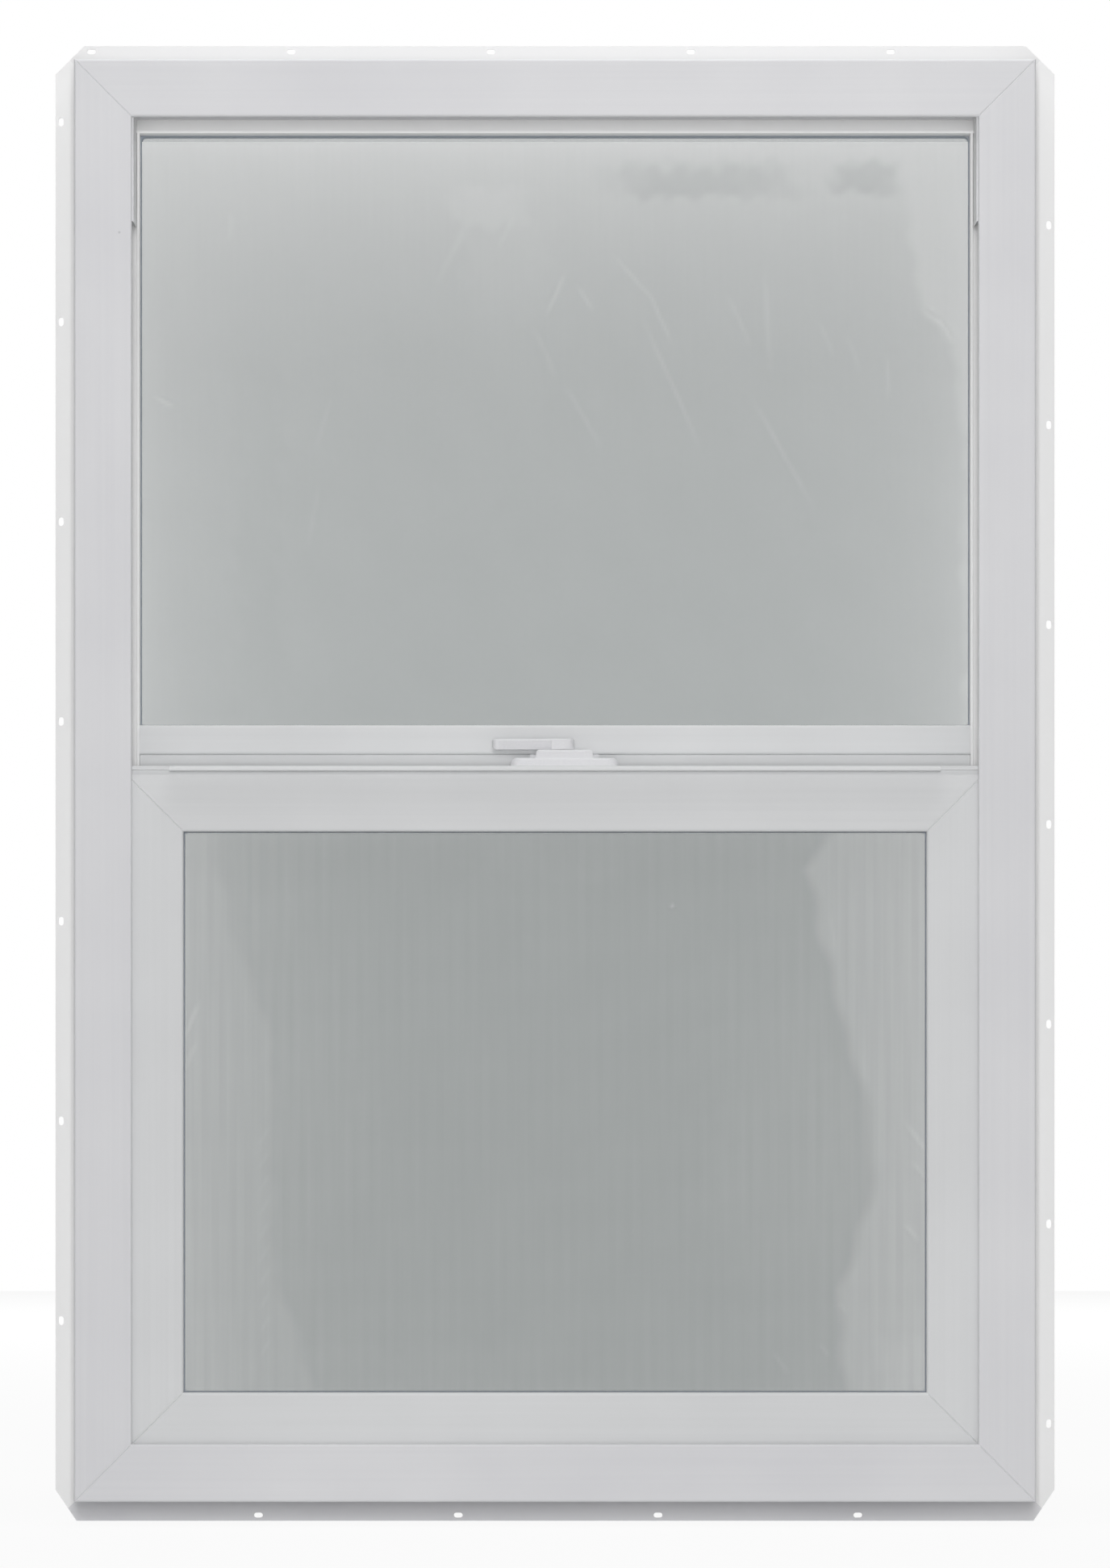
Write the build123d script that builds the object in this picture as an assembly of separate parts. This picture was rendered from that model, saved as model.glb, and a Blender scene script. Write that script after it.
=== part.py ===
import os

from build123d import *

# Single-hung window with a nailing fin: a fixed light above, a sliding sash below, a half screen outside.
# X runs across the window, +Y points outdoors and +Z up, in millimetres.
# The origin is on the seating face of the fin, in the middle of the lower fin. Heights below are from the
# underside of the frame, and the whole window is lifted to the origin as it is written out.

# Frame: one extrusion, mitred and welded at the corners
frame_width = 609.6
frame_height = 914.4
fin_setback = 50.8            # interior face to the seating face of the fin
face_width = 36.5             # the flat face seen from the room
face_round = 1.6
weld_groove = 0.5             # depth of the cleaned seam along each mitre
stop_thickness = 4.5          # the lip of that face in front of the sash
parting_thickness = 2.8       # the leg between the sash track and the fixed glass
parting_reach = 33.5
leg_thickness = 3.0           # the leg behind the fixed glass
leg_reach = 38.0
glass_pocket_floor = 26.0
balance_pocket_width = 12.4
balance_pocket_depth = 14.3
screen_groove = 10.5
screen_groove_floor = 14.0
flange_thickness = 3.5        # the outermost lip, which keeps the screen in
flange_reach = 24.0

# Nailing fin
fin_width = 15.2
fin_thickness = 1.8
fin_top_clip_across = 18.5    # the clipped upper corners, along the head
fin_top_clip_up = 18.2        # and along the jambs
fin_low_clip_across = 13.5    # the clipped lower corners, along the sill
fin_low_clip_up = 20.0        # and along the jambs
slot_length = 5.6
slot_width = 3.2
slot_edge = 3.6               # slot centre to the fin's outer edge
slot_pitch = 128.0
slot_margin = 7.0             # least distance from a slot centre to the end of the frame
top_slot_start = 7.8          # first slot centre, from the left end
bottom_slot_start = 114.8
left_slot_start = 113.0       # first slot centre, from the lower end
right_slot_start = 47.0

# Insulating glass
lite_thickness = 2.2
unit_thickness = 12.7
glass_edge_gap = 4.0          # glass edge to the floor of its pocket
spacer_sight = 0.4            # the spacer shows past the bead by this much
spacer_round = 3.0
glazing_tape = 1.3

# Beads that hold the fixed glass, on its room side
bead_depth = 13.5
bead_foot = 6.0
bead_groove = 7.5             # depth of the shadow groove beside the lip
bead_lip = 1.5
bead_lip_root = 2.1
bead_lip_set = 0.5            # the lip stands this far behind the parting leg
jamb_bead_lap = 1.2           # the jamb beads show past the leg behind the glass
head_bead_lap = 3.9           # and so does the head bead

# Fixed meeting rail
rail_top = 494.0
rail_face_height = 18.8
rail_height = 44.0
rail_recess = 4.0
rail_bite = 11.0
rail_round = 1.8
rail_fit = 0.2

# Sliding sash
sash_top = 466.7
sash_depth = 28.0
sash_face = 41.7
sash_overlap = 9.2            # the frame's stop covers this much of the sash
sash_face_gap = 2.5
sash_edge_gap = 3.0
sash_front_leg = 6.0
sash_pocket_floor = 28.0
sash_glass_gap = 3.0
sash_round = 2.2
sash_bead_slope = 5.7
sash_bead_edge = 3.1
lift_length = 489.0
lift_height = 3.2
lift_projection = 5.0
lift_round = 2.6              # the upper edge is nearly a quarter round
lift_under_round = 0.4
pile_width = 3.0
pile_inset = 2.5
pile_groove = 2.5
pile_gap = 0.2
seal_width = 16.0

# Stop blocks in the tracks over the raised sash
filler_length = 60.0          # below the top of the visible opening
filler_reach = 37.5
filler_fit = 0.3

# Sash balances
balance_wall = 1.0
balance_block = 24.0
balance_fit = 0.3
balance_rise = 6.0            # lower end above the top of the sash
balance_lap = 14.0            # upper end above the lower end of the stop block

# Cam lock
lock_x = 6.0
lock_base_length = 69.0
lock_base_depth = 22.0
lock_base_height = 5.3
lock_base_round = 7.0         # corners in plan
lock_end_round = 4.3          # upper corners of the base, from the room
lock_edge_round = 1.6         # long upper edges
lock_body_length = 36.0
lock_body_depth = 18.0
lock_body_height = 5.3
lock_body_round = 4.0
lock_shoulder = 2.4
lock_root = 2.2               # ledge where the body runs out on the base
lock_root_round = 2.0
lock_setback = 4.0            # sash front to the base
lever_arm = 46.0
lever_hub = 6.2
lever_end = 4.2
lever_height = 6.8
lever_edge = 0.8
lever_tip_round = 1.6
lever_tip_under = 3.0         # the tip is rounded more below
scoop_top = 5.2               # finger hollow under the front edge of the lever
scoop_depth = 2.2
scoop_end = 2.0               # it stops this far from the hub
lever_gap = 0.3
spindle_radius = 3.0
spindle_fit = 0.2
cam_radius = 8.0
cam_tongue_width = 12.0
cam_thickness = 2.6
cam_floor = 1.2               # metal under the cam
cam_gap = 0.4
cam_bite = 2.2                # the tongue reaches this far into the keeper
keeper_length = 44.0
keeper_height = 12.0
keeper_slot_margin = 2.0

# Half screen
screen_side_gap = 1.5
screen_fit = 0.3              # the screen stands on the floor of the sill's groove
screen_top = 470.0
screen_thickness = 8.0
screen_bar = 16.0
screen_gap = 1.2
screen_round = 1.0
spline_groove_width = 3.6
spline_groove_depth = 3.6
spline_groove_inset = 4.0
mesh_thickness = 0.6

# Weep covers on the outdoor face of the sill
weep_spacing = 400.0
weep_length = 34.0
weep_height = 10.0
weep_thickness = 2.4
weep_lip = 0.9
weep_above = 6.0

# Depth planes, from the room to outdoors
interior_y = -fin_setback
stop_back_y = interior_y + stop_thickness
sash_front_y = stop_back_y + sash_face_gap
sash_rear_y = sash_front_y + sash_depth
sash_middle_y = (sash_front_y + sash_rear_y) / 2
parting_face_y = sash_rear_y + sash_face_gap
parting_back_y = parting_face_y + parting_thickness
upper_glass_y = parting_back_y + bead_depth
upper_glass_back_y = upper_glass_y + unit_thickness
leg_y = upper_glass_back_y + glazing_tape
groove_y = leg_y + leg_thickness
flange_y = groove_y + screen_groove
exterior_y = flange_y + flange_thickness
screen_y = groove_y + screen_gap
lower_glass_y = sash_front_y + sash_front_leg
lower_glass_back_y = lower_glass_y + unit_thickness

# Distances in from the outside of the frame
sash_edge = face_width - sash_overlap
track_floor = sash_edge - sash_edge_gap
balance_floor = track_floor - balance_pocket_depth
upper_glass_edge = glass_pocket_floor + glass_edge_gap
jamb_bead_reach = leg_reach + jamb_bead_lap
head_bead_reach = leg_reach + head_bead_lap
filler_bottom = frame_height - face_width - filler_length

half_width = frame_width / 2
sash_width = frame_width - 2 * sash_edge
sash_height = sash_top - sash_edge
through = 2 * (exterior_y - interior_y)
sides = ("top", "bottom", "left", "right")
parts = {}


def outline(points, rounds=()):
    # Closed face through the points, with the named corners rounded
    face = make_face(Polyline(*points, close=True))
    for corner, radius in rounds:
        face = fillet(face.vertices().sort_by_distance(corner)[0], radius)
    return face


def box(x_range, y_range, z_range):
    low = Vector(x_range[0], y_range[0], z_range[0])
    high = Vector(x_range[1], y_range[1], z_range[1])
    size = high - low
    return Pos(*((low + high) / 2)) * Box(*size)


def weld_seams(length, inner, face_y):
    # V grooves along both mitres of a bar, in the face at the given depth
    side = weld_groove * 2 ** 0.5
    seam = Rot(45, 0, 0) * Box(4 * inner, side, side)
    return [Pos(end * length / 2, face_y, 0) * Rot(0, end * 45, 0) * seam for end in (-1, 1)]


def mitre_end(length, inner, fin, clip, next_clip):
    # Points of one end, from the inner edge outwards; a fin outside the profile ends in a corner clipped by
    # one length along this bar and one along the next
    points = [(length / 2 - inner, inner)]
    if not fin:
        return points + [(length / 2, 0)]
    tip = fin - clip * next_clip / (clip + next_clip)
    return points + [(length / 2 + tip, -tip), (length / 2 + fin - clip, -fin)]


def mitred(profile, length, inner, fin=0.0, start_clips=(0.0, 0.0), end_clips=(0.0, 0.0)):
    # Profile (depth, distance inward) carried along X and cut at 45 degrees at both ends
    end = mitre_end(length, inner, fin, *end_clips)
    start = [(-x, u) for x, u in reversed(mitre_end(length, inner, fin, *start_clips))]
    cut = make_face(Polyline(*end, *start, close=True))
    return extrude(Plane.YZ * profile, length, both=True) & extrude(Plane.XZ * cut, through, both=True)


def on_side(side, width, height, base):
    # Where a bar made along X, with its outer edge on Z = 0, goes in a rectangle of bars
    middle = base + height / 2
    return {
        "bottom": Pos(0, 0, base),
        "top": Pos(0, 0, base + height) * Rot(0, 180, 0),
        "left": Pos(-width / 2, 0, middle) * Rot(0, 90, 0),
        "right": Pos(width / 2, 0, middle) * Rot(0, -90, 0),
    }[side]


def ring(name, names, profile, width, height, base, inner, seam_y=None):
    # Four mitred bars round a rectangle, with weld seams in the face at seam_y
    for side in sides:
        length = width if side in ("top", "bottom") else height
        bar = mitred(profile, length, inner)
        if seam_y is not None:
            bar -= weld_seams(length, inner, seam_y)
        parts[name + names[side]] = on_side(side, width, height, base) * bar


def fin_slots(side):
    # Slot centres along a bar, measured from the bar's middle in its own direction
    length = frame_width if side in ("top", "bottom") else frame_height
    start = {"top": top_slot_start, "bottom": bottom_slot_start,
             "left": left_slot_start, "right": right_slot_start}[side]
    turned = -1 if side in ("top", "left") else 1
    count = int((length - slot_margin - start) // slot_pitch) + 1
    return [turned * (start + index * slot_pitch - length / 2) for index in range(count)]


def frame_profile():
    pocket_front_y = sash_middle_y - balance_pocket_width / 2
    pocket_back_y = sash_middle_y + balance_pocket_width / 2
    points = [
        (interior_y, 0), (interior_y, face_width), (stop_back_y, face_width), (stop_back_y, track_floor),
        (pocket_front_y, track_floor), (pocket_front_y, balance_floor),
        (pocket_back_y, balance_floor), (pocket_back_y, track_floor),
        (parting_face_y, track_floor), (parting_face_y, parting_reach),
        (parting_back_y, parting_reach), (parting_back_y, glass_pocket_floor),
        (leg_y, glass_pocket_floor), (leg_y, leg_reach), (groove_y, leg_reach),
        (groove_y, screen_groove_floor), (flange_y, screen_groove_floor), (flange_y, flange_reach),
        (exterior_y, flange_reach), (exterior_y, 0),
        (fin_thickness, 0), (fin_thickness, -fin_width), (0, -fin_width), (0, 0),
    ]
    rounded = [(interior_y, 0), (interior_y, face_width), (exterior_y, flange_reach), (exterior_y, 0)]
    return outline(points, [(corner, face_round) for corner in rounded])


def frame_members():
    names = {"top": "frame_head", "bottom": "frame_sill", "left": "frame_left_jamb", "right": "frame_right_jamb"}
    profile = frame_profile()
    top_clips = (fin_top_clip_across, fin_top_clip_up)
    low_clips = (fin_low_clip_across, fin_low_clip_up)
    ends = {
        "top": (top_clips, top_clips),
        "bottom": (low_clips, low_clips),
        "left": (top_clips[::-1], low_clips[::-1]),
        "right": (low_clips[::-1], top_clips[::-1]),
    }
    for side in sides:
        length = frame_width if side in ("top", "bottom") else frame_height
        bar = mitred(profile, length, leg_reach, fin_width, *ends[side])
        bar -= weld_seams(length, face_width, interior_y)
        for x in fin_slots(side):
            slot = Plane.XZ * Pos(x, slot_edge - fin_width) * SlotOverall(slot_length, slot_width)
            bar -= extrude(slot, fin_thickness * 2, both=True)
        parts[names[side]] = on_side(side, frame_width, frame_height, 0) * bar


def meeting_rail():
    face_bottom = rail_top - rail_face_height
    bottom = rail_top - rail_height
    recess_y = parting_face_y + rail_recess
    pocket = rail_top - rail_bite
    section = outline([
        (parting_face_y, face_bottom), (parting_face_y, rail_top), (upper_glass_y, rail_top),
        (upper_glass_y, pocket), (leg_y, pocket), (leg_y, rail_top), (groove_y, rail_top),
        (groove_y, bottom), (recess_y, bottom), (recess_y, face_bottom),
    ], [((parting_face_y, rail_top), rail_round), ((parting_face_y, face_bottom), rail_round)])
    # In plan the ends stand between the jamb beads, reach into the glass pocket behind them and stop at the leg
    half_plan = [
        (half_width - jamb_bead_reach - rail_fit, parting_face_y),
        (half_width - jamb_bead_reach - rail_fit, upper_glass_y),
        (half_width - glass_pocket_floor - rail_fit, upper_glass_y),
        (half_width - glass_pocket_floor - rail_fit, leg_y),
        (half_width - leg_reach - rail_fit, leg_y),
        (half_width - leg_reach - rail_fit, groove_y),
    ]
    plan = outline(half_plan + [(-x, y) for x, y in reversed(half_plan)])
    rail = extrude(Plane.YZ * section, frame_width, both=True)
    parts["meeting_rail"] = rail & extrude(plan, frame_height)
    pile_z = (bottom + sash_top) / 2
    parts["meeting_pile"] = box(
        (-sash_width / 2 + sash_face, sash_width / 2 - sash_face),
        (sash_rear_y + pile_gap, recess_y),
        (pile_z - pile_width, pile_z + pile_width),
    )


def bead_profile(reach):
    # Foot in the pocket behind the parting leg, shadow groove, then a thin lip against the glass
    foot = glass_pocket_floor + bead_foot
    groove = parting_back_y + bead_groove
    lip_y = parting_back_y + bead_lip_set
    return outline([
        (parting_back_y, glass_pocket_floor), (parting_back_y, foot), (groove, foot),
        (groove, reach - bead_lip_root), (lip_y, reach - bead_lip), (lip_y, reach),
        (upper_glass_y, reach), (upper_glass_y, glass_pocket_floor),
    ])


def upper_beads():
    run = frame_width - 2 * glass_pocket_floor
    head = extrude(Plane.YZ * bead_profile(head_bead_reach), run / 2, both=True)
    parts["upper_bead_top"] = on_side("top", frame_width, frame_height, 0) * head
    # The jamb beads run on past the ends of the meeting rail
    bottom = rail_top - rail_height
    top = frame_height - head_bead_reach
    jamb = extrude(Plane.YZ * bead_profile(jamb_bead_reach), (top - bottom) / 2, both=True)
    for side in ("left", "right"):
        parts["upper_bead_" + side] = on_side(side, frame_width, top - bottom, bottom) * jamb


def glass_unit(name, x_half, z_range, front_y, sight_half, sight_range):
    # Two lites and the spacer frame sealed between them
    spacer_y = front_y + lite_thickness
    back_lite_y = front_y + unit_thickness - lite_thickness
    back_y = front_y + unit_thickness
    parts[name + "_glass_inside"] = box((-x_half, x_half), (front_y, spacer_y), z_range)
    parts[name + "_glass_outside"] = box((-x_half, x_half), (back_lite_y, back_y), z_range)
    opening_width = 2 * (sight_half - spacer_sight)
    opening_low = sight_range[0] + spacer_sight
    opening_high = sight_range[1] - spacer_sight
    outer = Pos(0, (z_range[0] + z_range[1]) / 2) * Rectangle(2 * x_half, z_range[1] - z_range[0])
    opening = Pos(0, (opening_low + opening_high) / 2) * RectangleRounded(
        opening_width, opening_high - opening_low, spacer_round)
    frame = extrude(Plane.XZ * (outer - opening), -(back_lite_y - spacer_y))
    parts[name + "_spacer"] = Pos(0, spacer_y, 0) * frame


def upper_light():
    z_range = (rail_top - rail_bite + glass_edge_gap, frame_height - upper_glass_edge)
    sight_range = (rail_top, frame_height - head_bead_reach)
    glass_unit("upper", half_width - upper_glass_edge, z_range, upper_glass_y,
               half_width - jamb_bead_reach, sight_range)
    upper_beads()


def sash_profile():
    # Front leg over the glass, glass pocket behind it, and pile grooves in both faces near the edge
    front_groove = sash_front_y + pile_groove
    rear_groove = sash_rear_y - pile_groove
    pile_end = pile_inset + pile_width
    return outline([
        (sash_front_y, 0), (sash_front_y, pile_inset), (front_groove, pile_inset), (front_groove, pile_end),
        (sash_front_y, pile_end), (sash_front_y, sash_face), (lower_glass_y, sash_face),
        (lower_glass_y, sash_pocket_floor), (sash_rear_y, sash_pocket_floor),
        (sash_rear_y, pile_end), (rear_groove, pile_end), (rear_groove, pile_inset),
        (sash_rear_y, pile_inset), (sash_rear_y, 0),
    ], [((sash_front_y, sash_face), sash_round)])


def sash_bead_profile():
    return outline([
        (lower_glass_back_y, sash_pocket_floor), (lower_glass_back_y, sash_face),
        (lower_glass_back_y + sash_bead_edge, sash_face), (sash_rear_y, sash_face - sash_bead_slope),
        (sash_rear_y, sash_pocket_floor),
    ])


def lift_rib():
    # Finger lip along the upper edge of the top rail, on the room side
    section = outline([
        (sash_front_y, sash_top - lift_height), (sash_front_y, sash_top),
        (sash_front_y - lift_projection, sash_top), (sash_front_y - lift_projection, sash_top - lift_height),
    ], [((sash_front_y - lift_projection, sash_top), lift_round),
        ((sash_front_y - lift_projection, sash_top - lift_height), lift_under_round)])
    return extrude(Plane.YZ * section, lift_length / 2, both=True)


def sash():
    names = {"top": "top_rail", "bottom": "bottom_rail", "left": "left_stile", "right": "right_stile"}
    ring("sash_", names, sash_profile(), sash_width, sash_height, sash_edge, sash_face, sash_front_y)
    parts["sash_top_rail"] += lift_rib()
    plain = {side: side for side in sides}
    ring("sash_bead_", plain, sash_bead_profile(), sash_width, sash_height, sash_edge, sash_face)
    glass_inset = sash_pocket_floor + sash_glass_gap
    glass_unit("lower", sash_width / 2 - glass_inset, (sash_edge + glass_inset, sash_top - glass_inset),
               lower_glass_y, sash_width / 2 - sash_face, (sash_edge + sash_face, sash_top - sash_face))
    sash_seals()


def sash_seals():
    # Pile strips on both faces of both stiles, and the strip that lands on the sill
    z_range = (sash_edge + sash_face, sash_top - sash_face)
    strips = []
    for direction in (-1, 1):
        edges = sorted((direction * (sash_width / 2 - pile_inset - pile_width),
                        direction * (sash_width / 2 - pile_inset)))
        strips.append(box(edges, (stop_back_y + pile_gap, sash_front_y + pile_groove), z_range))
        strips.append(box(edges, (sash_rear_y - pile_groove, parting_face_y - pile_gap), z_range))
    parts["sash_pile_strips"] = Compound(strips)
    # The strip bridges the channel in the sill and bears on the floor of the track at both sides of it
    section = outline([
        (sash_middle_y - seal_width / 2, track_floor), (sash_middle_y + seal_width / 2, track_floor),
        (sash_middle_y + seal_width / 2, sash_edge), (sash_middle_y - seal_width / 2, sash_edge),
    ])
    parts["sash_bottom_seal"] = extrude(Plane.YZ * section, sash_width / 2 - sash_face, both=True)


def track_fillers():
    # Block in each track that stops the raised sash; its lower end slopes down towards the opening
    inner_edge = track_floor + filler_fit
    run = filler_reach - inner_edge
    top = frame_height - track_floor - filler_fit
    bottom = filler_bottom
    for direction, side in ((-1, "left"), (1, "right")):
        face = outline([
            (direction * (half_width - inner_edge), bottom + run / 2),
            (direction * (half_width - filler_reach), bottom - run / 2),
            (direction * (half_width - filler_reach), top),
            (direction * (half_width - inner_edge), top),
        ])
        depth = parting_face_y - stop_back_y - 2 * filler_fit
        block = Pos(0, stop_back_y + filler_fit, 0) * extrude(Plane.XZ * face, -depth)
        parts["track_filler_" + side] = block


def balances():
    # Channel balance in the pocket of each jamb, open towards the sash, with a block in each end
    width = balance_pocket_width - 2 * balance_fit
    outer = balance_floor + balance_fit
    inner = track_floor - balance_fit
    low = sash_top + balance_rise
    high = filler_bottom + balance_lap
    wall = balance_wall
    for direction, side in ((-1, "left"), (1, "right")):
        x_range = sorted((direction * (half_width - outer), direction * (half_width - inner)))
        hollow = sorted((direction * (half_width - outer - wall), direction * (half_width - inner)))
        y_range = (sash_middle_y - width / 2, sash_middle_y + width / 2)
        channel = box(x_range, y_range, (low, high))
        channel -= box(hollow, (y_range[0] + wall, y_range[1] - wall), (low + balance_block, high - balance_block))
        parts["balance_" + side] = channel


def rounded_block(front, length, depth, height, plan_round):
    # Block with the given outline from the room, long upper edges rounded, corners rounded in plan
    side = outline([(-depth / 2, 0), (depth / 2, 0), (depth / 2, height), (-depth / 2, height)],
                   [((end * depth / 2, height), lock_edge_round) for end in (-1, 1)])
    block = extrude(Plane.XZ * front, depth, both=True) & extrude(Plane.YZ * side, length, both=True)
    return block & extrude(RectangleRounded(length, depth, plan_round), height)


def lock_housing():
    half = lock_base_length / 2
    base_front = outline([(-half, 0), (half, 0), (half, lock_base_height), (-half, lock_base_height)],
                         [((end * half, lock_base_height), lock_end_round) for end in (-1, 1)])
    base = rounded_block(base_front, lock_base_length, lock_base_depth, lock_base_height, lock_base_round)
    # The body's ends run out on the base in a hollow curve
    half = lock_body_length / 2
    foot = half + lock_root
    top = lock_base_height + lock_body_height
    right = [(foot, 0), (foot, lock_base_height), (half, lock_base_height), (half, top)]
    rounds = [((end * half, top), lock_shoulder) for end in (-1, 1)]
    rounds += [((end * half, lock_base_height), lock_root_round) for end in (-1, 1)]
    body_front = outline(right + [(-x, z) for x, z in reversed(right)], rounds)
    return base + rounded_block(body_front, 2 * foot, lock_body_depth, top, lock_body_round)


def lock_lever():
    # Tapers from its hub to a rounded tip, with a finger hollow under its front edge
    arm = make_hull(Circle(lever_hub).edges() + (Pos(lever_end - lever_arm, 0) * Circle(lever_end)).edges())
    lever = extrude(arm, lever_height)
    lever = chamfer(lever.edges().group_by(Axis.Z)[-1], lever_edge)
    front = outline([(-lever_arm, 0), (lever_hub, 0), (lever_hub, lever_height), (-lever_arm, lever_height)],
                    [((-lever_arm, lever_height), lever_tip_round), ((lever_hub, lever_height), lever_tip_round),
                     ((-lever_arm, 0), lever_tip_under)])
    lever &= extrude(Plane.XZ * front, lever_arm, both=True)
    hollow = outline([(-2 * lever_hub, 0), (-2 * lever_hub, scoop_top), (-lever_end, scoop_top),
                      (scoop_depth - lever_end, 0)])
    scoop_length = lever_arm - lever_end - lever_hub - scoop_end
    return lever - Pos(-lever_hub - scoop_end, 0, 0) * extrude(Plane.YZ * hollow, -scoop_length)


def lock():
    base_z = sash_top
    body_z = base_z + lock_base_height
    lever_z = body_z + lock_body_height
    base_front_y = sash_front_y + lock_setback
    pivot_y = base_front_y + lock_base_depth / 2
    cam_z = base_z + cam_floor
    slot_z = (cam_z - cam_gap, cam_z + cam_thickness + cam_gap)
    keeper_y = parting_face_y

    housing = Pos(lock_x, pivot_y, base_z) * lock_housing()
    # Room for the cam, open at the back, and the hole for its spindle
    room = cam_radius + cam_gap
    cavity = Pos(lock_x, pivot_y, slot_z[0]) * extrude(Circle(room), slot_z[1] - slot_z[0])
    cavity += box((lock_x - room, lock_x + room), (pivot_y, pivot_y + lock_base_depth), slot_z)
    spindle_hole = Pos(lock_x, pivot_y, cam_z) * extrude(
        Circle(spindle_radius + spindle_fit), lever_z - cam_z)
    parts["lock_housing"] = housing - cavity - spindle_hole

    lever = lock_lever()
    spindle_length = lever_z + lever_gap - cam_z - cam_thickness
    lever += Pos(0, 0, -spindle_length) * extrude(Circle(spindle_radius), spindle_length)
    parts["lock_lever"] = Pos(lock_x, pivot_y, lever_z + lever_gap) * lever

    tongue_length = keeper_y + cam_bite - pivot_y
    cam = Circle(cam_radius) + Pos(0, tongue_length / 2) * Rectangle(cam_tongue_width, tongue_length)
    parts["lock_cam"] = Pos(lock_x, pivot_y, cam_z) * extrude(cam, cam_thickness)

    # Keeper plate in the recess under the rail's face, with a slot for the tongue
    keeper_top = rail_top - rail_face_height
    keeper = box((lock_x - keeper_length / 2, lock_x + keeper_length / 2),
                 (keeper_y, keeper_y + rail_recess), (keeper_top - keeper_height, keeper_top))
    slot_half = cam_tongue_width / 2 + keeper_slot_margin
    keeper -= box((lock_x - slot_half, lock_x + slot_half), (keeper_y, keeper_y + rail_recess), slot_z)
    parts["lock_keeper"] = keeper


def screen():
    names = {"top": "top_bar", "bottom": "bottom_bar", "left": "left_bar", "right": "right_bar"}
    width = frame_width - 2 * (screen_groove_floor + screen_side_gap)
    base = screen_groove_floor + screen_fit
    height = screen_top - base
    back_y = screen_y + screen_thickness
    groove = (screen_bar - spline_groove_inset - spline_groove_width, screen_bar - spline_groove_inset)
    profile = outline([
        (screen_y, 0), (screen_y, screen_bar), (back_y, screen_bar), (back_y, groove[1]),
        (back_y - spline_groove_depth, groove[1]), (back_y - spline_groove_depth, groove[0]),
        (back_y, groove[0]), (back_y, 0),
    ], [((screen_y, screen_bar), screen_round), ((back_y, screen_bar), screen_round)])
    ring("screen_", names, profile, width, height, base, screen_bar)
    middle_y = screen_y + screen_thickness / 2
    parts["screen_mesh"] = box(
        (-width / 2 + screen_bar, width / 2 - screen_bar),
        (middle_y - mesh_thickness / 2, middle_y + mesh_thickness / 2),
        (base + screen_bar, screen_top - screen_bar),
    )


def weep_covers():
    # Hooded cover over each drain slot: thin at its upper edge, open below
    section = outline([
        (exterior_y, weep_above), (exterior_y + weep_thickness, weep_above),
        (exterior_y + weep_lip, weep_above + weep_height), (exterior_y, weep_above + weep_height),
    ])
    cover = extrude(Plane.YZ * section, weep_length / 2, both=True)
    parts["weep_covers"] = Compound([Pos(direction * weep_spacing / 2, 0, 0) * cover for direction in (-1, 1)])


frame_members()
meeting_rail()
upper_light()
sash()
track_fillers()
balances()
lock()
screen()
weep_covers()

os.makedirs("parts", exist_ok=True)
for name, shape in parts.items():
    export_step(Pos(0, 0, fin_width / 2) * shape, f"parts/{name}.step")
print(len(parts), "parts written")
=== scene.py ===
# Vinyl single-hung window: finishes, film on the glass, woven screen and its spline, light and camera
import bpy
import numpy as np
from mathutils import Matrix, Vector


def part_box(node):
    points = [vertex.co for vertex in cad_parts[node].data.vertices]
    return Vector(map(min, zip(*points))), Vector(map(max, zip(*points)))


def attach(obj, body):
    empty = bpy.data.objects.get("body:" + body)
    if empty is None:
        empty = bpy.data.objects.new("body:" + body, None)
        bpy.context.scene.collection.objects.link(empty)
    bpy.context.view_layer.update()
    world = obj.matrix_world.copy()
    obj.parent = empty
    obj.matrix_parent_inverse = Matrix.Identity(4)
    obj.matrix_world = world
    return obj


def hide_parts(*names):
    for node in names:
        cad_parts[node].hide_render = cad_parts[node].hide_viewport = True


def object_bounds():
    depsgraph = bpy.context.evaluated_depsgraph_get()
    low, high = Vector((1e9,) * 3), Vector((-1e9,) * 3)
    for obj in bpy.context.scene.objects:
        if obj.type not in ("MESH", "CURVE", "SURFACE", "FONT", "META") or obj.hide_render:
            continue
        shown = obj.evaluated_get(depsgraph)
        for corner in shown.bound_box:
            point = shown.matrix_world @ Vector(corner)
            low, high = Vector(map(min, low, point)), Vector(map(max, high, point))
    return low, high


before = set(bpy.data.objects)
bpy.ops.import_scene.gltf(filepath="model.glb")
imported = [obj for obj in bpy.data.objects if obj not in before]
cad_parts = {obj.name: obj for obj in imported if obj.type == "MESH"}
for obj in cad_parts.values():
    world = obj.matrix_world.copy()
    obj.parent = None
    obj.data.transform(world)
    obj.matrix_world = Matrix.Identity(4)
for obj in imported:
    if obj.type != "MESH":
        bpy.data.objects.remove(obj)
cadBounds = [list(corner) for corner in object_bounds()]
mm = 0.001
print("frame loaded:", len(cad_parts), "nodes")


def linearOf(hexColour):  # sRGB hex to linear RGBA
    srgb = np.array([int(hexColour[i:i + 2], 16) for i in (1, 3, 5)]) / 255
    linear = np.where(srgb <= 0.04045, srgb / 12.92, ((srgb + 0.055) / 1.055) ** 2.4)
    return (*linear.tolist(), 1.0)


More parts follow.
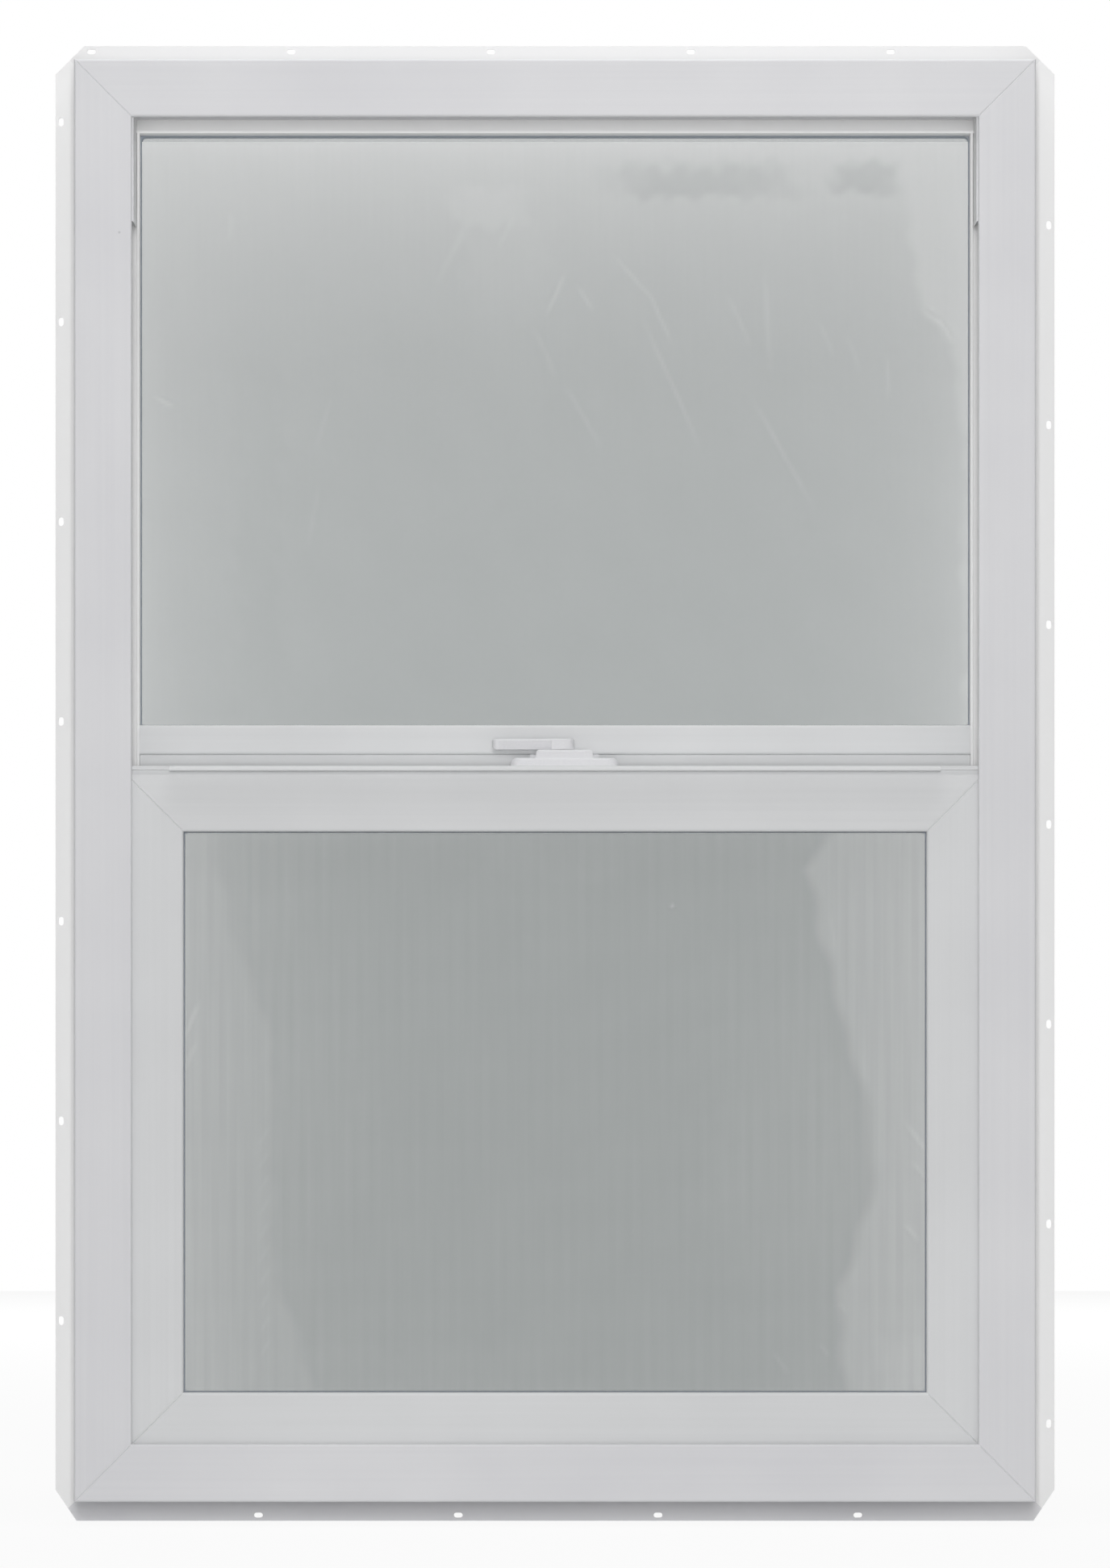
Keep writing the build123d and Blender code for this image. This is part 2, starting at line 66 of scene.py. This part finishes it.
def addNode(tree, kind, settings=(), **inputs):  # an input is a value or the output socket that feeds it
    node = tree.nodes.new("ShaderNode" + kind)
    for name, value in dict(settings).items():
        setattr(node, name, value)
    for name, value in inputs.items():
        socket = node.inputs[int(name[1:])] if name[1:].isdigit() else node.inputs[name.replace("_", " ")]
        if isinstance(value, bpy.types.NodeSocket):
            tree.links.new(value, socket)
        else:
            socket.default_value = value
    return node


def startMaterial(name, **inputs):  # one Principled surface, ready for its patterns
    material = bpy.data.materials.new(name)
    material.use_nodes = True
    tree = material.node_tree
    tree.nodes.clear()
    surface = addNode(tree, "BsdfPrincipled", **inputs)
    addNode(tree, "OutputMaterial", Surface=surface.outputs[0])
    return material, tree, surface


def objectPoints(tree, scale=(1, 1, 1)):  # object coordinates in metres, stretched along an axis where asked
    place = addNode(tree, "TexCoord")
    return addNode(tree, "Mapping", Vector=place.outputs["Object"], Scale=scale).outputs[0]


def dress(material, *names):  # CAD nodes keep their mesh and get this finish
    for name in names:
        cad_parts[name].material_slots[0].material = material


# Extruded vinyl: drawn through a die and welded at the mitres, so satin, faintly streaked along its length
vinyl = {
    # painted shade: the sash's colours are a little darker than the frame's, for the sash set back behind the frame's
    # face
    "frame": ("#E4E4E6", "#DCDCDF"), "sash": ("#E2E3E4", "#DADBDC"), "roughness": 0.38, "roughnessSpread": 0.10,
    "streakWidth": 3.0, "streakLength": 400.0, "streakShare": 0.45, "mottleSize": 120.0,
    "grain": 1.2, "grainDepth": 0.012, "grainStrength": 0.5,
    "headPaintedLight": (-1.0, "#EDEDED"), "jambPaintedLight": (-46.0, "#F6F6F6"),  # painted light: from this depth back the vinyl takes this lighter colour
    "markColour": "#6E7276",
    # marks: centre, radius and strength
    "marks": [((-276, -51, 812), 1.1, 0.30), ((-314, 0, 512), 9.0, 0.10), ((-309, 0, 524), 7.0, 0.07)],
}


def makeVinyl(name, part, alongX, paintedLightKey=None):
    material, tree, surface = startMaterial(name, IOR=1.53)
    across, along = 1000 / vinyl["streakWidth"], 1000 / vinyl["streakLength"]
    stretched = objectPoints(tree, (along, across, across) if alongX else (across, across, along))
    streaks = addNode(tree, "TexNoise", Vector=stretched, Scale=1.0, Detail=3.0)
    mottle = addNode(tree, "TexNoise", Vector=objectPoints(tree), Scale=1000 / vinyl["mottleSize"], Detail=2.0)
    both = addNode(tree, "Math", {"operation": "MULTIPLY_ADD"}, _0=streaks.outputs[0],
                   _1=vinyl["streakShare"], _2=mottle.outputs[0])
    spread = addNode(tree, "MapRange", Value=both.outputs[0], From_Min=0.45, From_Max=1.0)  # where the sum mostly lies
    tone = addNode(tree, "Mix", {"data_type": "RGBA"}, _0=spread.outputs[0],
                   _6=linearOf(vinyl[part][0]), _7=linearOf(vinyl[part][1]))
    colour = tone.outputs[2]
    for centre, radius, strength in vinyl["marks"]:  # handling marks: a speck on the jamb, a smudge on the fin
        away = addNode(tree, "VectorMath", {"operation": "DISTANCE"}, _0=objectPoints(tree),
                       _1=[value * mm for value in centre])
        mask = addNode(tree, "MapRange", Value=away.outputs["Value"], From_Min=radius * mm * 0.4,
                       From_Max=radius * mm, To_Min=strength, To_Max=0.0)
        colour = addNode(tree, "Mix", {"data_type": "RGBA"}, _0=mask.outputs[0], _6=colour,
                         _7=linearOf(vinyl["markColour"])).outputs[2]
    if paintedLightKey:  # painted light: behind the room-side face, fins, tracks and beads are coloured lighter, standing in for the light that reaches them
        place = addNode(tree, "SeparateXYZ", Vector=objectPoints(tree))
        behind = addNode(tree, "Math", {"operation": "GREATER_THAN"}, _0=place.outputs["Y"],
                         _1=vinyl[paintedLightKey][0] * mm)
        colour = addNode(tree, "Mix", {"data_type": "RGBA"}, _0=behind.outputs[0], _6=colour,
                         _7=linearOf(vinyl[paintedLightKey][1])).outputs[2]
    tree.links.new(colour, surface.inputs["Base Color"])
    gloss = addNode(tree, "MapRange", Value=mottle.outputs[0], From_Min=0.3, From_Max=0.7,
                    To_Min=vinyl["roughness"] - vinyl["roughnessSpread"] / 2,
                    To_Max=vinyl["roughness"] + vinyl["roughnessSpread"] / 2)
    tree.links.new(gloss.outputs[0], surface.inputs["Roughness"])
    grain = addNode(tree, "TexNoise", Vector=objectPoints(tree), Scale=1000 / vinyl["grain"], Detail=1.0)
    relief = addNode(tree, "Math", {"operation": "ADD"}, _0=grain.outputs[0], _1=streaks.outputs[0])
    bump = addNode(tree, "Bump", Strength=vinyl["grainStrength"], Distance=vinyl["grainDepth"] * mm,
                   Height=relief.outputs[0])
    tree.links.new(bump.outputs[0], surface.inputs["Normal"])
    return material


# Painted light: a lighter colour behind the face on the head's fin and on the jambs' fins, tracks, fillers and beads,
# including the head's upper bead
dress(makeVinyl("headVinyl", "frame", True, "headPaintedLight"), "frame_head")
dress(makeVinyl("sillVinyl", "frame", True), "frame_sill", "weep_covers")
dress(makeVinyl("jambVinyl", "frame", False, "jambPaintedLight"), "frame_left_jamb", "frame_right_jamb",
      "upper_bead_top", "upper_bead_left", "upper_bead_right", "track_filler_left", "track_filler_right")
dress(makeVinyl("sashVinylAcross", "sash", True), "meeting_rail", "sash_top_rail", "sash_bottom_rail",
      "sash_bead_top", "sash_bead_bottom")
dress(makeVinyl("sashVinylUpright", "sash", False), "sash_left_stile", "sash_right_stile", "sash_bead_left",
      "sash_bead_right")
print("vinyl dressed")


# Coated float glass: smooth and grey-green, two panes keep back about half of the light behind them
glass = {"facing": "#828C8B", "grazing": "#5F7A74", "slant": 0.35, "alpha": 0.20, "roughness": 0.03}


def makeGlass():
    material, tree, surface = startMaterial("coatedFloatGlass", Alpha=glass["alpha"], IOR=1.52,
                                            Roughness=glass["roughness"])
    slant = addNode(tree, "LayerWeight", Blend=glass["slant"])  # greener where the eye looks along the pane
    tint = addNode(tree, "Mix", {"data_type": "RGBA"}, _0=slant.outputs["Facing"],
                   _6=linearOf(glass["facing"]), _7=linearOf(glass["grazing"]))
    tree.links.new(tint.outputs[2], surface.inputs["Base Color"])
    return material


dress(makeGlass(), "upper_glass_inside", "upper_glass_outside", "lower_glass_inside", "lower_glass_outside")


def makePlain(name, light, dark, roughness, patternSize, bumpDepth, metallic=0.0, detail=2.0):
    # a base finish with one noise that moves its tone and its relief
    material, tree, surface = startMaterial(name, Roughness=roughness, Metallic=metallic)
    noise = addNode(tree, "TexNoise", Vector=objectPoints(tree), Scale=1000 / patternSize, Detail=detail)
    tone = addNode(tree, "Mix", {"data_type": "RGBA"}, _0=noise.outputs[0],
                   _6=linearOf(light), _7=linearOf(dark))
    tree.links.new(tone.outputs[2], surface.inputs["Base Color"])
    bump = addNode(tree, "Bump", Strength=0.6, Distance=bumpDepth * mm, Height=noise.outputs[0])
    tree.links.new(bump.outputs[0], surface.inputs["Normal"])
    return material


# Butyl-backed spacer: dull blue grey, a thin line in shade round each pane
dress(makePlain("butylSpacer", "#CCD2E2", "#BCC3D4", 0.6, 2.0, 0.02), "upper_spacer", "lower_spacer")
# Woven pile: grey fibres, dull and soft
dress(makePlain("wovenPile", "#8E9292", "#5F6464", 0.95, 0.6, 0.25, detail=4.0),
      "meeting_pile", "sash_pile_strips")
# Foamed seal under the sash: soft grey skin
dress(makePlain("foamedSeal", "#9DA0A0", "#8A8D8D", 0.8, 1.5, 0.05), "sash_bottom_seal")
# Roll-formed aluminium, baked white enamel: smooth with a slight orange peel
screenWhite = makePlain("enamelledAluminium", "#E4E5E6", "#DCDDDF", 0.32, 2.5, 0.01)
dress(screenWhite, "screen_top_bar", "screen_bottom_bar", "screen_left_bar", "screen_right_bar")
# Die-cast zinc, white powder coat: rounder orange peel than enamel
lockWhite = makePlain("powderCoatedZinc", "#E8E8EA", "#E0E0E3", 0.34, 1.4, 0.02)
dress(lockWhite, "lock_housing", "lock_lever", "lock_keeper")
# Zinc-plated steel: pale grey metal, finely mottled
zincSteel = makePlain("zincPlatedSteel", "#B9BCBE", "#A3A7AA", 0.35, 4.0, 0.01, metallic=1.0)
dress(zincSteel, "lock_cam", "balance_left", "balance_right")
print("glass, seals, screen bars and lock dressed")


def makePiece(name, points, faces, material):  # finished mesh on the one body, placed by its vertices
    mesh = bpy.data.meshes.new(name)
    mesh.from_pydata(np.reshape(points, (-1, 3)).tolist(), [], faces.tolist())
    mesh.materials.append(material)
    mesh.update()
    piece = bpy.data.objects.new(name, mesh)
    bpy.context.scene.collection.objects.link(piece)
    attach(piece, "root")
    return piece


def gridFaces(rows, columns, wrapRows=False, wrapColumns=False):
    # quads between neighbours on a rows by columns grid, closed where asked
    row = np.arange(rows if wrapRows else rows - 1)[:, None]
    column = np.arange(columns if wrapColumns else columns - 1)[None, :]
    nextRow, nextColumn = (row + 1) % rows, (column + 1) % columns
    corners = [row * columns + column, row * columns + nextColumn,
               nextRow * columns + nextColumn, nextRow * columns + column]
    return np.stack(np.broadcast_arrays(*corners), -1).reshape(-1, 4)


def softStep(low, high, value):  # 0 up to low, 1 from high on, and 3 t^2 - 2 t^3 between
    t = np.clip((value - low) / (high - low), 0, 1)
    return t * t * (3 - 2 * t)


def ripple(x, z, size, seed):
    # sum of five crossing sine waves of falling length, each turned 2.4 radians on, between about -1 and 1
    total = np.zeros(np.broadcast(x, z).shape)
    for step in range(5):
        turn = seed + 2.4 * step
        length = size / (1 + 0.7 * step)
        total = total + np.sin((x * np.cos(turn) + z * np.sin(turn)) * 2 * np.pi / length + 1.7 * turn)
    return total / 3.2


# Protective film: thin polyethylene rolled on at the factory, grey like the pane where it lies close and milky
# where it has lifted along the edges
film = {
    "close": "#A5ACAB", "lifted": "#F8F9F9", "alpha": 0.50, "roughness": 0.24,
    "step": 1.6, "gap": 0.35, "margin": 0.8, "creasePaintedHighlight": 0.2, "streakWidth": 8.0,
    # amount and wave length of the swell, of the cloudy tone, of a strip's border and of a patch's outline in x and z
    "swell": (0.12, 160.0), "cloud": (0.012, 170.0), "borderWander": (2.5, 90.0),
    "patchBend": ((5.0, 60.0), (3.0, 50.0)), "borderSoft": (-4.0, 7.0),  # a border fades over this width
}
upperFilm = {
    "base": 0.03, "streaks": 0.015, "topMargin": 4.0, "seed": 0.3,
    "edges": {"top": (1.0, 95.0), "left": (0.50, 55.0), "right": (0.52, 45.0)},  # haze at the edge, reach in mm
    # strips: which side, border as (height, x), haze
    "strips": [("right", [(678, 262), (745, 254), (771, 234), (812, 228), (848, 223), (874, 218)], 0.50)],
    # patches: centre, half width and half height, change of haze
    "patches": [((95, 851), (55, 11), -0.30), ((198, 852), (20, 10), -0.34), ((-43, 835), (24, 13), 0.10),
                ((-30, 800), (26, 42), 0.05), ((-190, 640), (16, 130), -0.03)],
    # creases: start, end, height and half width
    "creases": [
        ((-4, 768), (6, 791), 0.7, 1.5), ((15, 783), (23, 770), 0.6, 1.5), ((40, 801), (62, 776), 0.6, 1.4),
        ((62, 776), (73, 751), 0.6, 1.4), ((60, 755), (89, 689), 0.5, 1.5), ((9, 716), (27, 685), 0.3, 1.6),
        ((-12, 755), (-1, 729), 0.3, 1.6), ((131, 704), (162, 648), 0.4, 1.6), ((112, 776), (124, 749), 0.4, 1.5),
        ((135, 788), (138, 735), 0.4, 1.9), ((170, 760), (178, 741), 0.3, 1.5), ((188, 751), (195, 731), 0.3, 1.5),
        ((213, 737), (214, 714), 0.4, 1.5), ((-74, 789), (-58, 820), 0.3, 2.2), ((-35, 811), (-27, 827), 0.3, 1.8),
        ((-208, 815), (-208, 830), 0.3, 1.6), ((-152, 683), (-144, 710), 0.2, 1.6),
        ((-157, 621), (-152, 652), 0.2, 1.6), ((-256, 712), (-245, 707), 0.9, 1.4),
        ((236, 768), (247, 760), 0.7, 1.6), ((247, 760), (255, 749), 0.6, 1.6)],
}
lowerFilm = {
    "base": 0.125, "streaks": 0.08, "topMargin": 0.8, "seed": 1.9,
    "edges": {"top": (0.10, 14.0), "left": (0.44, 50.0), "right": (0.40, 45.0), "bottom": (0.06, 14.0)},
    "strips": [
        ("left", [(76, -153), (114, -163), (149, -178), (242, -180), (297, -177), (356, -199), (415, -215)], 0.13),
        ("right", [(76, 183), (142, 179), (173, 192), (214, 202), (256, 199), (318, 181), (367, 169), (408, 159),
                   (432, 174)], 0.30)],
    "patches": [((222, 92), (20, 20), 0.06), ((-150, 260), (34, 70), 0.03), ((140, 250), (40, 90), 0.04),
                ((0, 415), (50, 14), 0.03), ((-110, 90), (120, 18), 0.03)],
    "creases": [
        ((-236, 301), (-227, 322), 0.7, 1.4), ((-236, 280), (-229, 297), 0.6, 1.4), ((224, 246), (237, 228), 0.7, 1.5),
        ((228, 222), (237, 211), 0.6, 1.5), ((223, 182), (230, 174), 0.6, 1.4), ((140, 100), (147, 90), 0.3, 1.3),
        ((169, 107), (173, 100), 0.3, 1.3), ((181, 133), (185, 128), 0.3, 1.3), ((175, 379), (178, 359), 0.3, 1.3),
        ((-197, 386), (-197, 428), 0.15, 1.3), ((-170, 352), (-170, 420), 0.12, 1.3),
        ((-181, 305), (-181, 358), 0.12, 1.3), ((74, 385), (75, 386), 1.2, 1.2)]
    + [((-187, z), (-182, z + 9), 0.25, 1.2) for z in range(100, 240, 15)],  # fringe of the left strip
}


def creaseHeight(x, z, creases):
    # each crease is a ridge: a bell across its line, fading out at both ends
    height = np.zeros(x.shape)
    for start, end, tall, wide in creases:
        run = np.subtract(end, start)
        length = np.hypot(*run)
        along = ((x - start[0]) * run[0] + (z - start[1]) * run[1]) / length
        across = ((z - start[1]) * run[0] - (x - start[0]) * run[1]) / length
        fade = softStep(-0.2 * length - wide, 0.3 * length, along)
        fade = fade * softStep(1.2 * length + wide, 0.7 * length, along)
        height = height + tall * np.exp(-(across / wide) ** 2) * fade
    return height


def filmHaze(x, z, low, high, settings):
    # clear share times (1 - haze) of every edge and strip, then soft-cornered patches, slow cloud and upright streaks
    seed = settings["seed"]
    wander, wanderLength = film["borderWander"]
    (bendX, bendXLength), (bendZ, bendZLength) = film["patchBend"]
    cloud, cloudLength = film["cloud"]
    away = {"top": high[1] - z, "left": x - low[0], "right": high[0] - x, "bottom": z - low[1]}
    clear = np.full(x.shape, 1 - settings["base"])
    for side, (strength, reach) in settings["edges"].items():
        clear = clear * (1 - strength * np.exp(-away[side] / reach))
    for side, border, strength in settings["strips"]:
        heights, places = zip(*border)
        line = np.interp(z, heights, places) + wander * ripple(0 * z, z, wanderLength, seed + 1)
        inside = (line - x) if side == "left" else (x - line)
        clear = clear * (1 - strength * softStep(*film["borderSoft"], inside))
    haze = 1 - clear
    bentX = x + bendX * ripple(x, z, bendXLength, seed)
    bentZ = z + bendZ * ripple(x, z, bendZLength, seed + 2)
    for (middleX, middleZ), (halfX, halfZ), change in settings["patches"]:
        haze = haze + change * np.exp(-((bentX - middleX) / halfX) ** 4 - ((bentZ - middleZ) / halfZ) ** 4)
    streaks = settings["streaks"] * ripple(x, 0.02 * z, film["streakWidth"], seed + 4)
    return (haze + cloud * ripple(x, z, cloudLength, seed + 3)) * (1 + streaks)


def makeFilmMaterial():
    material, tree, surface = startMaterial("liftedPolyethyleneFilm", IOR=1.51, Roughness=film["roughness"],
                                            Alpha=film["alpha"])
    haze = addNode(tree, "Attribute", {"attribute_name": "haze"})
    tone = addNode(tree, "Mix", {"data_type": "RGBA"}, _0=haze.outputs["Fac"],
                   _6=linearOf(film["close"]), _7=linearOf(film["lifted"]))
    tree.links.new(tone.outputs[2], surface.inputs["Base Color"])
    return material


filmMaterial = makeFilmMaterial()


def makeFilm(name, settings, bars, pane):
    # height field over the pane: y = pane - gap - slow swell - creases
    left, right, bottom, top = bars
    swell, swellLength = film["swell"]
    low = (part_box(left)[1].x / mm + film["margin"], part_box(bottom)[1].z / mm + film["margin"])
    high = (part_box(right)[0].x / mm - film["margin"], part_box(top)[0].z / mm - settings["topMargin"])
    columns = int((high[0] - low[0]) / film["step"]) + 1
    rows = int((high[1] - low[1]) / film["step"]) + 1
    x, z = np.meshgrid(np.linspace(low[0], high[0], columns), np.linspace(low[1], high[1], rows))
    creases = creaseHeight(x, z, settings["creases"])
    swelling = swell * (1 + ripple(x, z, swellLength, settings["seed"]))
    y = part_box(pane)[0].y / mm - film["gap"] - swelling - creases
    # painted highlight: creases get extra haze so they read as bright lines
    haze = filmHaze(x, z, low, high, settings) + film["creasePaintedHighlight"] * creases
    piece = makePiece(name, np.stack([x, y, z], -1) * mm, gridFaces(rows, columns), filmMaterial)
    attribute = piece.data.attributes.new("haze", "FLOAT", "POINT")
    attribute.data.foreach_set("value", np.clip(haze, 0, 1).ravel())
    piece.data.shade_smooth()


makeFilm("upper_protective_film", upperFilm,
         ("upper_bead_left", "upper_bead_right", "meeting_rail", "upper_bead_top"),
         "upper_glass_inside")
makeFilm("lower_protective_film", lowerFilm,
         ("sash_left_stile", "sash_right_stile", "sash_bottom_rail", "sash_top_rail"),
         "lower_glass_inside")
print("film laid on both panes")


# Insect screen: vinyl-coated glass-fibre yarn, plain weave drawn as two crossed layers
weave = {"pitchAcross": 1.49, "pitchUp": 1.59, "yarn": 0.30}
meshMaterial = makePlain("coatedGlassFibreYarn", "#3A3D3E", "#2C2F30", 0.55, 3.0, 0.005)


def makeYarns(starts, ends, half):
    # four-sided prisms: each end point plus or minus half a yarn across the run and in depth
    direction = (ends - starts)[0] / np.linalg.norm((ends - starts)[0])
    side = np.cross(direction, (0, 1, 0))
    ring = half * np.array([[1, 1], [-1, 1], [-1, -1], [1, -1]])
    offsets = ring[:, :1] * side + ring[:, 1:] * np.array([0, 1, 0])
    points = np.stack([starts, ends], 1)[:, :, None, :] + offsets
    count = len(starts)
    base = (np.arange(count) * 8)[:, None, None]
    walls = base + gridFaces(2, 4, wrapColumns=True)[None]
    caps = base + np.array([[3, 2, 1, 0], [4, 5, 6, 7]])[None]
    return points.reshape(-1, 3), np.concatenate([walls, caps], 1).reshape(-1, 4)


def makeScreen():
    # upright yarns in front and level ones behind, one pitch apart, meeting at the middle of the mesh
    low, high = (np.array(corner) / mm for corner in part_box("screen_mesh"))
    middle = (low[1] + high[1]) / 2
    half = weave["yarn"] / 2
    x = np.arange(low[0] + weave["pitchAcross"] / 2, high[0], weave["pitchAcross"])
    z = np.arange(low[2] + weave["pitchUp"] / 2, high[2], weave["pitchUp"])
    upright = makeYarns(np.stack([x, x * 0 + middle - half, x * 0 + low[2]], -1),
                        np.stack([x, x * 0 + middle - half, x * 0 + high[2]], -1), half)
    level = makeYarns(np.stack([z * 0 + low[0], z * 0 + middle + half, z], -1),
                      np.stack([z * 0 + high[0], z * 0 + middle + half, z], -1), half)
    points = np.concatenate([upright[0], level[0]]) * mm
    faces = np.concatenate([upright[1], level[1] + len(upright[0])])
    piece = makePiece("insect_screen_weave", points, faces, meshMaterial)
    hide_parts("screen_mesh")


makeScreen()

# Screen spline: soft vinyl cord pressed into the groove of the screen bars, dull grey
spline = {"inset": 10.2, "depth": 1.8, "radius": 1.7, "corner": 3.0, "cornerSteps": 9, "sides": 10}
splineMaterial = makePlain("softVinylSpline", "#A9ACAD", "#9A9D9E", 0.7, 1.0, 0.03)


def makeSpline():
    # circle carried round a rectangle with rounded corners: point = path + radius (cos a outward + sin a depth)
    low = np.array(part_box("screen_left_bar")[0]) / mm
    high = np.array(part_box("screen_right_bar")[1]) / mm
    middle, half = (low + high) / 2, (high - low) / 2 - spline["inset"] - spline["corner"]
    steps, sides = spline["cornerSteps"], spline["sides"]
    turn = np.radians(np.linspace(0, 90, steps)[None, :] + 90 * np.arange(4)[:, None]).reshape(-1, 1)
    side = np.repeat([[1, 1], [-1, 1], [-1, -1], [1, -1]], steps, axis=0)
    outward = np.concatenate([np.cos(turn), 0 * turn, np.sin(turn)], 1)
    path = spline["corner"] * outward
    path[:, 0] += middle[0] + side[:, 0] * half[0]
    path[:, 1] += high[1] - spline["depth"]
    path[:, 2] += middle[2] + side[:, 1] * half[2]
    around = np.radians(np.arange(sides) * 360 / sides)[None, :, None]
    ring = np.cos(around) * outward[:, None, :] + np.sin(around) * np.array([0, 1, 0])
    points = path[:, None, :] + spline["radius"] * ring
    piece = makePiece("screen_spline", points * mm, gridFaces(4 * steps, sides, True, True), splineMaterial)
    piece.data.shade_smooth()


makeSpline()
print("screen woven and splined")


# Plain studio: pale floor, an even surround, a tall lamp at the camera, a small one above and one behind
studio = {
    "floorColour": "#E6E6E6", "floorSpan": 9.0, "floorGrid": 5, "floorWhite": 0.93,
    "surround": 0.14, "aim": (0.0, 0.0, 0.46),
    # place, width and height in metres, watts
    "frontLamp": ((0.0, -4.6, 0.70), (0.6, 1.5), 103.0),
    "topLamp": ((0.0, -0.3, 2.1), (1.4, 0.3), 13.0),
    "backLamp": ((0.0, 4.0, 1.6), (2.6, 1.4), 90.0),
}


def aimAt(item, place, target):  # item's -Z looks from place to target, Y up
    item.location = place
    item.rotation_euler = (Vector(target) - Vector(place)).to_track_quat("-Z", "Y").to_euler()


def rayShown(tree):  # 1 where the camera sees this directly, in a reflection or through glass
    ray = addNode(tree, "LightPath")
    seen = addNode(tree, "Math", {"operation": "MAXIMUM"}, _0=ray.outputs["Is Camera Ray"],
                   _1=ray.outputs["Is Glossy Ray"])
    return addNode(tree, "Math", {"operation": "MAXIMUM"}, _0=seen.outputs[0],
                   _1=ray.outputs["Is Transmission Ray"]).outputs[0]


def makeFloor():
    # flat square grid at the foot of the window
    edge = np.linspace(-0.5, 0.5, studio["floorGrid"]) * studio["floorSpan"]
    x, y = np.meshgrid(edge, edge)
    mesh = bpy.data.meshes.new("studio_floor")
    points = np.stack([x, y, x * 0 + cadBounds[0][2]], -1)
    mesh.from_pydata(points.reshape(-1, 3).tolist(), [], gridFaces(len(edge), len(edge)).tolist())
    floor = bpy.data.objects.new("studio_floor", mesh)
    bpy.context.scene.collection.objects.link(floor)
    material = bpy.data.materials.new("paleStudioFloor")  # matt paper, white to the eye, keeps a soft shadow
    material.use_nodes = True
    tree = material.node_tree
    tree.nodes.clear()
    share = addNode(tree, "Math", {"operation": "MULTIPLY"}, _0=rayShown(tree), _1=studio["floorWhite"])
    matt = addNode(tree, "BsdfDiffuse", Color=linearOf(studio["floorColour"]))
    white = addNode(tree, "Emission", Strength=1.0)
    mixed = addNode(tree, "MixShader", _0=share.outputs[0], _1=matt.outputs[0], _2=white.outputs[0])
    addNode(tree, "OutputMaterial", Surface=mixed.outputs[0])
    mesh.materials.append(material)


def makeSurround():
    world = bpy.data.worlds.new("studioSurround")
    bpy.context.scene.world = world
    world.use_nodes = True
    tree = world.node_tree
    tree.nodes.clear()
    level = addNode(tree, "MapRange", Value=rayShown(tree), To_Min=studio["surround"], To_Max=1.0)
    sky = addNode(tree, "Background", Color=(1, 1, 1, 1), Strength=level.outputs[0])
    addNode(tree, "OutputWorld", Surface=sky.outputs[0])


def makeLamp(name):
    place, size, watts = studio[name]
    lamp = bpy.data.lights.new(name, "AREA")
    lamp.shape = "RECTANGLE"
    lamp.size, lamp.size_y = size
    lamp.energy = watts
    item = bpy.data.objects.new(name, lamp)
    aimAt(item, place, studio["aim"])
    item.visible_camera = item.visible_glossy = False  # no lamp shows in the panes
    bpy.context.scene.collection.objects.link(item)


makeFloor()
makeSurround()
for lampName in ("frontLamp", "topLamp", "backLamp"):
    makeLamp(lampName)

# Long lens on the room side, level, lower than the window's middle and shifted up to frame it
camera = {"distance": 4.5, "pictureHeight": 0.9934, "middle": 0.4625, "below": 0.174, "sensor": 36.0}


def makeCamera():
    lens = bpy.data.cameras.new("longLens")
    lens.sensor_fit = "VERTICAL"
    lens.sensor_height = camera["sensor"]
    lens.lens = camera["sensor"] * camera["distance"] / camera["pictureHeight"]
    lens.shift_y = camera["below"] / camera["pictureHeight"]
    lens.dof.use_dof = False
    item = bpy.data.objects.new("longLens", lens)
    bpy.context.scene.collection.objects.link(item)
    faceY, height = cadBounds[0][1], camera["middle"] - camera["below"]
    aimAt(item, (0, faceY - camera["distance"], height), (0, faceY, height))
    bpy.context.scene.camera = item


makeCamera()
bpy.context.scene.view_settings.view_transform = "Standard"
print("studio and camera set")
